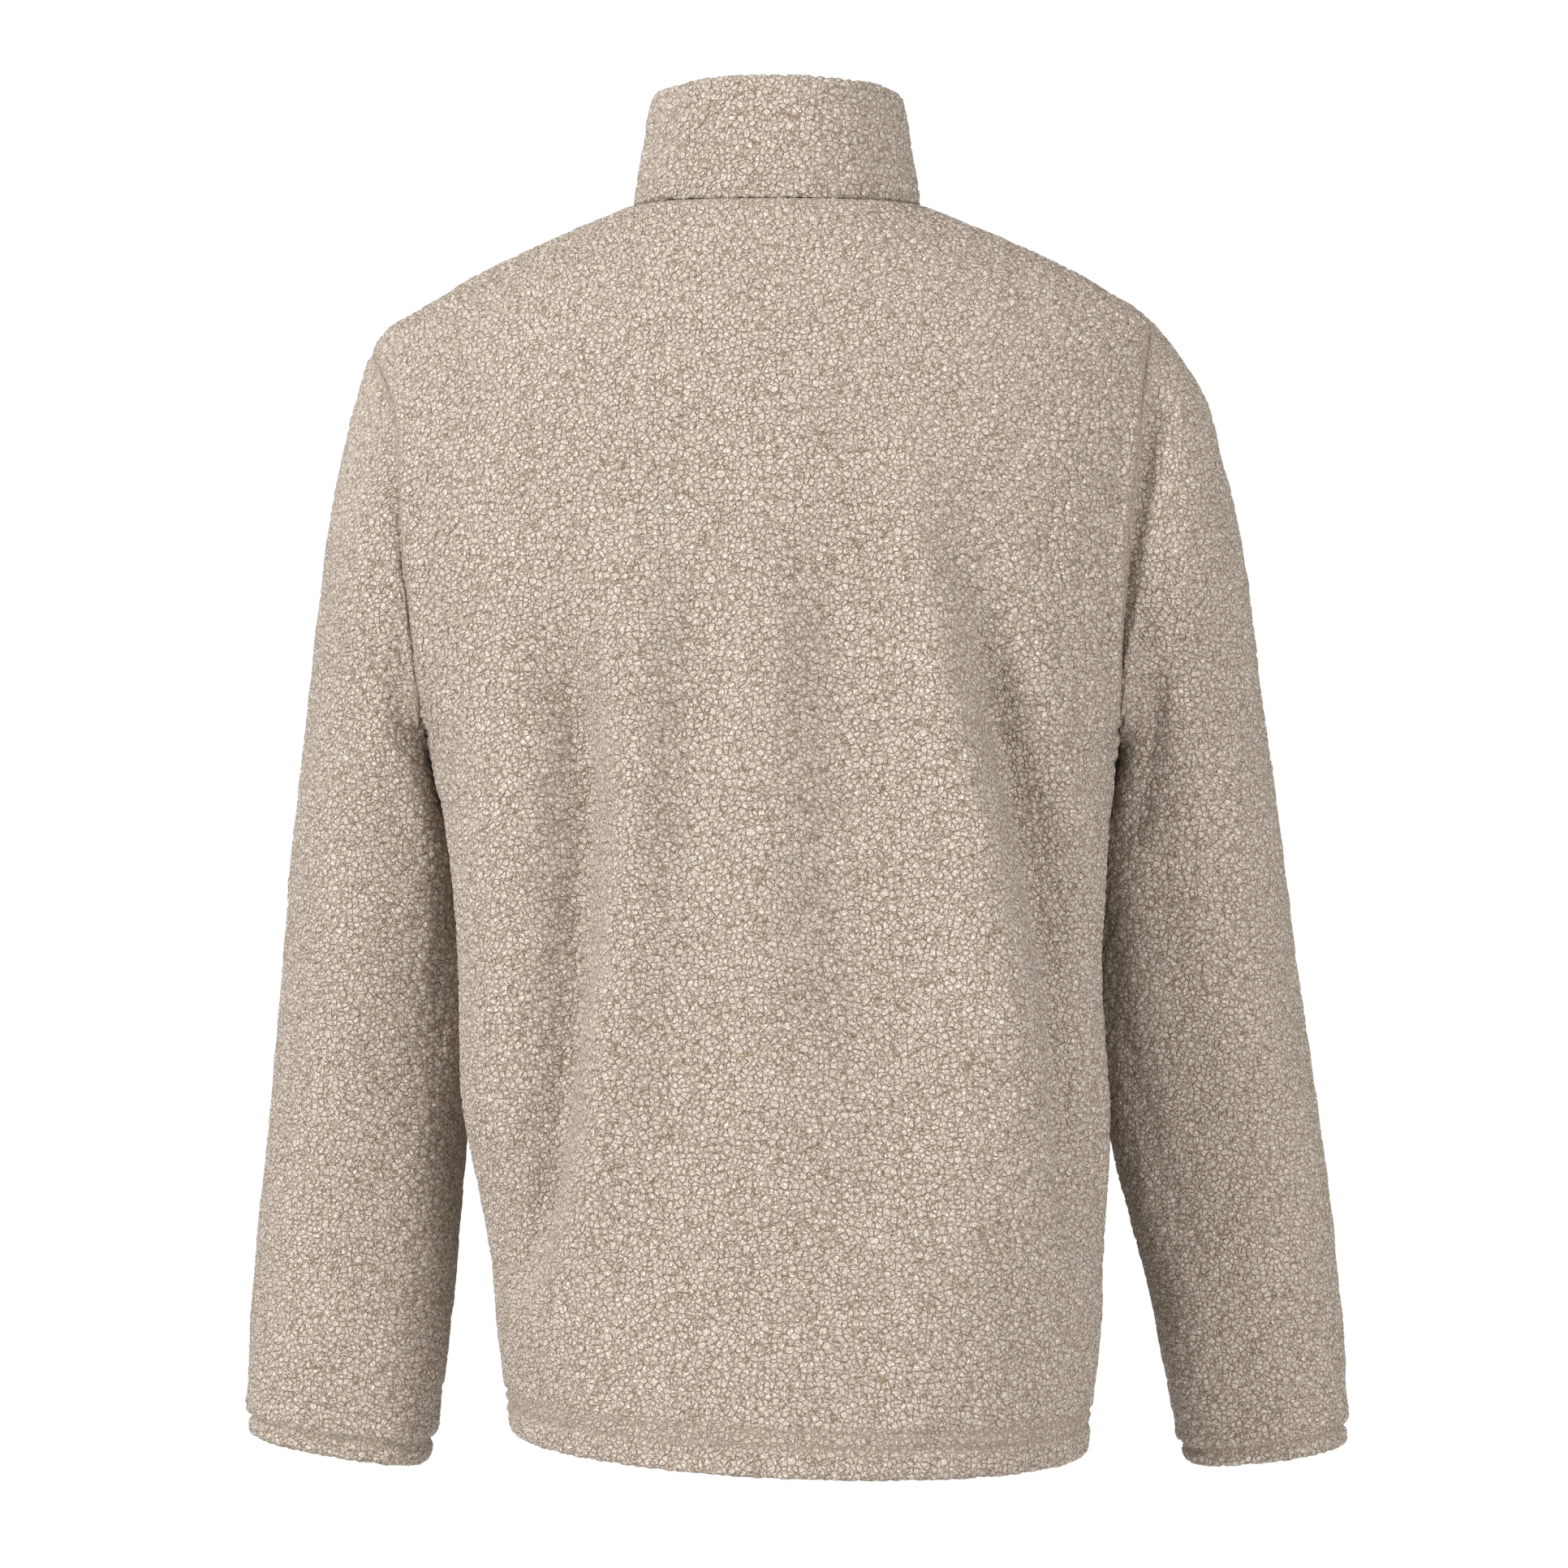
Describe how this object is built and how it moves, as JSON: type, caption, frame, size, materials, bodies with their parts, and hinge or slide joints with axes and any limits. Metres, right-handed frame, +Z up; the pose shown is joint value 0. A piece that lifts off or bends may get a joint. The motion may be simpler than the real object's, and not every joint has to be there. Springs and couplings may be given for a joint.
{
  "type": "fleece jacket",
  "caption": "Hip-length zip-front jacket of thick curled-pile fleece with a stand collar, set-in sleeves and turned-up hem and cuffs, hollow and in its worn form.",
  "frame": {"origin": "inside the neck opening: Z is 0 at the centre back of the neck seam, and X is 0 at the middle of the neck", "axes": "+Z up, the front towards -Y, +X is the wearer's left"},
  "size_m": [0.624, 0.2874, 0.7693],
  "materials": {
    "back_fleece": "sherpa fleece with a curled pile",
    "left_front_fleece": "sherpa fleece with a curled pile",
    "right_front_fleece": "sherpa fleece with a curled pile",
    "left_sleeve_fleece": "sherpa fleece with a curled pile",
    "right_sleeve_fleece": "sherpa fleece with a curled pile",
    "collar_fleece": "sherpa fleece with a curled pile",
    "zip_tape": "flat woven tape",
    "zip_teeth": "matt",
    "zip_box_plastic": "matt",
    "zip_slider_metal": "satin",
    "zip_pull_metal": "satin"
  },
  "bodies": {
    "jacket": {"back_panel": "back_fleece", "left_front": "left_front_fleece", "right_front": "right_front_fleece", "left_sleeve": "left_sleeve_fleece", "right_sleeve": "right_sleeve_fleece", "stand_collar": "collar_fleece", "zip_tape_left": "zip_tape", "zip_tape_right": "zip_tape", "zip_chain": "zip_teeth", "zip_box": "zip_box_plastic", "zip_slider": "zip_slider_metal"},
    "pull_tab": {"zip_pull": "zip_pull_metal"}
  },
  "joints": [
    {"name": "pull_tab_hinge", "type": "hinge", "parent": "jacket", "child": "pull_tab", "pos_m": [0, -0.07896, -0.01066], "axis": [-1, 0, 0], "range_deg": [0, 150]}
  ]
}
